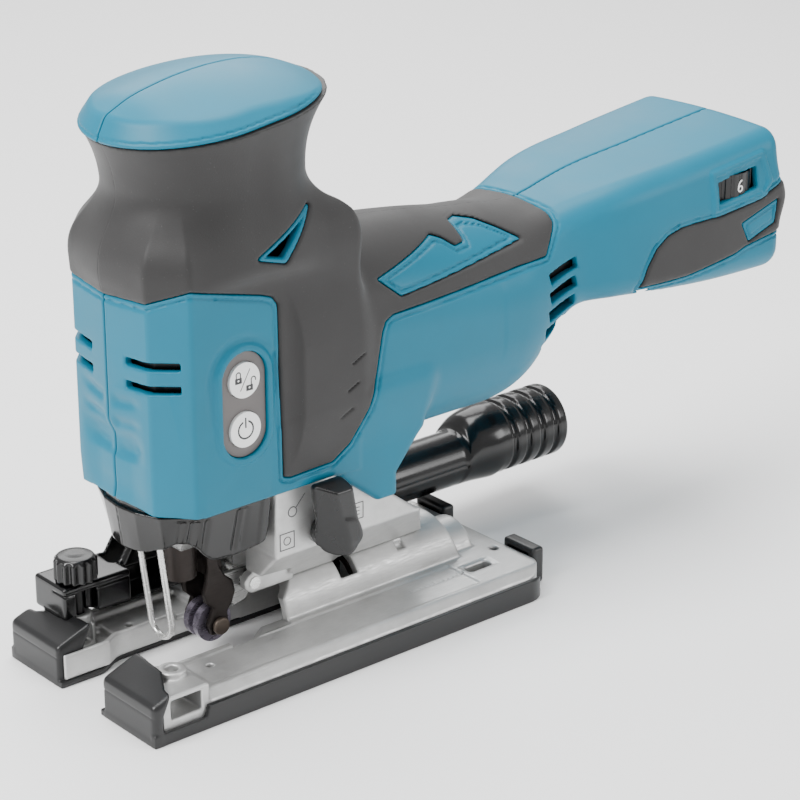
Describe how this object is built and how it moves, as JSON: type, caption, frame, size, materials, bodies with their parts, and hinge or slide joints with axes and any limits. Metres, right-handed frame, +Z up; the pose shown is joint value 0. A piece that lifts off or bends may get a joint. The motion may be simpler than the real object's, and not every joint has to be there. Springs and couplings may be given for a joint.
{
  "type": "cordless jigsaw",
  "caption": "Cordless barrel-grip jigsaw without battery: mushroom front knob, rubber grip, tilting and sliding alloy base, smoky dust cover, orbital lever and side dust nozzle.",
  "frame": {"origin": "on the sole plane at the blade line, midway across the base", "axes": "+Z up from the sole, +X backwards towards the battery end, -Y towards the side with the orbital lever"},
  "size_m": [0.272, 0.0791, 0.19],
  "materials": {
    "housing_plastic": "fine matte grain, teal",
    "grip_rubber": "soft speckled matte, dark grey",
    "panel_grey": "satin",
    "button_white": "satin white",
    "black_plastic": "semi-gloss black",
    "sole_plastic": "satin dark grey",
    "smoky_plastic": "smoky clear plastic",
    "cast_alloy": "bead-blasted die casting with machined faces",
    "bright_steel": "ground and polished",
    "dark_steel": "blackened steel",
    "roller_steel": "hardened, oil-tinted",
    "bronze": "sintered bronze",
    "motor_windings": "lacquered copper windings on steel laminations",
    "circuit_board": "potted circuit board",
    "terminal_plastic": "moulded contact block",
    "lens": "clear lens"
  },
  "bodies": {
    "tool": {"housing_left": "housing_plastic", "housing_right": "housing_plastic", "grip_rubber_left": "grip_rubber", "grip_rubber_right": "grip_rubber", "knob_cap_left": "housing_plastic", "knob_cap_right": "housing_plastic", "rear_bumper_left": "grip_rubber", "rear_bumper_right": "grip_rubber", "housing_screws": "dark_steel", "switch_panel_left": "panel_grey", "switch_panel_right": "panel_grey", "controller_board": "circuit_board", "battery_terminal": "terminal_plastic", "battery_rails": "bright_steel", "motor_stator": "motor_windings", "motor_bearings": "bright_steel", "gear_housing": "cast_alloy", "plunger_frame": "cast_alloy", "plunger_bushes": "bronze", "led_lens": "lens", "wire_guard": "bright_steel", "retainer_pin": "bright_steel"},
    "rotor": {"motor_rotor": "bright_steel", "motor_pinion": "bright_steel", "cooling_fan": "black_plastic"},
    "crank": {"crank_gear": "bright_steel"},
    "plunger": {"plunger": "bright_steel", "blade_clamp": "dark_steel"},
    "blade_release": {"clamp_sleeve": "dark_steel"},
    "lock_button_l": {"lock_button_left": "button_white"},
    "lock_button_r": {"lock_button_right": "button_white"},
    "power_button_l": {"power_button_left": "button_white"},
    "power_button_r": {"power_button_right": "button_white"},
    "speed_dial": {"speed_dial": "black_plastic"},
    "dust_cover": {"dust_cover": "smoky_plastic"},
    "orbital_lever": {"orbital_lever": "black_plastic"},
    "retainer": {"roller_retainer": "dark_steel", "roller_pin": "bright_steel"},
    "roller": {"guide_roller": "roller_steel"},
    "clamp_plate": {"clamp_plate": "dark_steel"},
    "base": {"base_plate": "cast_alloy", "sole_cover": "sole_plastic", "dust_nozzle": "black_plastic"},
    "clamp_bolt": {"clamp_bolt": "dark_steel"},
    "nozzle_screw": {"nozzle_screw": "black_plastic"}
  },
  "joints": [
    {"name": "motor_spin", "type": "hinge", "parent": "tool", "child": "rotor", "pos_m": [0.05, 0, 0.095], "axis": [1, 0, 0], "continuous": true},
    {"name": "crank_spin", "type": "hinge", "parent": "tool", "child": "crank", "pos_m": [0.024, 0, 0.0695], "axis": [1, 0, 0], "continuous": true},
    {"name": "plunger_stroke", "type": "slide", "parent": "tool", "child": "plunger", "axis": [0, 0, 1], "range_m": [-0.013, 0.013]},
    {"name": "blade_release", "type": "hinge", "parent": "plunger", "child": "blade_release", "pos_m": [0, 0, 0.037], "axis": [0, 0, 1], "range_deg": [0, 35], "stiffness_Nm_per_rad": 0.05},
    {"name": "lock_press_left", "type": "slide", "parent": "tool", "child": "lock_button_l", "axis": [0, 1, 0], "range_m": [0, 0.0008], "stiffness_N_per_m": 900},
    {"name": "lock_press_right", "type": "slide", "parent": "tool", "child": "lock_button_r", "axis": [0, -1, 0], "range_m": [0, 0.0008], "stiffness_N_per_m": 900},
    {"name": "power_press_left", "type": "slide", "parent": "tool", "child": "power_button_l", "axis": [0, 1, 0], "range_m": [0, 0.0008], "stiffness_N_per_m": 900},
    {"name": "power_press_right", "type": "slide", "parent": "tool", "child": "power_button_r", "axis": [0, -1, 0], "range_m": [0, 0.0008], "stiffness_N_per_m": 900},
    {"name": "speed_dial_turn", "type": "hinge", "parent": "tool", "child": "speed_dial", "pos_m": [0.211, -0.0204, 0.1217], "axis": [0, 0, 1], "range_deg": [-250, 0]},
    {"name": "dust_cover_slide", "type": "slide", "parent": "tool", "child": "dust_cover", "axis": [0, 0, 1], "range_m": [-0.006, 0]},
    {"name": "orbital_turn", "type": "hinge", "parent": "tool", "child": "orbital_lever", "pos_m": [0.037, -0.03, 0.0446], "axis": [0, 1, 0], "range_deg": [-90, 45]},
    {"name": "retainer_swing", "type": "hinge", "parent": "tool", "child": "retainer", "pos_m": [0.0205, 0, 0.026], "axis": [0, 1, 0], "range_deg": [0, 4]},
    {"name": "roller_spin", "type": "hinge", "parent": "retainer", "child": "roller", "pos_m": [0.01, 0, 0.013], "axis": [0, 1, 0], "continuous": true},
    {"name": "base_bevel", "type": "hinge", "parent": "tool", "child": "clamp_plate", "pos_m": [0.058, 0, 0.01], "axis": [-1, 0, 0], "range_deg": [0, 45]},
    {"name": "base_slide", "type": "slide", "parent": "clamp_plate", "child": "base", "axis": [-1, 0, 0], "range_m": [-0.022, 0]},
    {"name": "bolt_turn", "type": "hinge", "parent": "tool", "child": "clamp_bolt", "pos_m": [0.058, 0, 0.02], "axis": [0, 0, 1], "continuous": true},
    {"name": "nozzle_screw_turn", "type": "hinge", "parent": "base", "child": "nozzle_screw", "pos_m": [-0.0216, 0.025, 0.03], "axis": [0, 0, 1], "continuous": true}
  ],
  "couplings": [
    {"joint": "crank_spin", "follows": "motor_spin", "ratio": -0.17241}
  ]
}
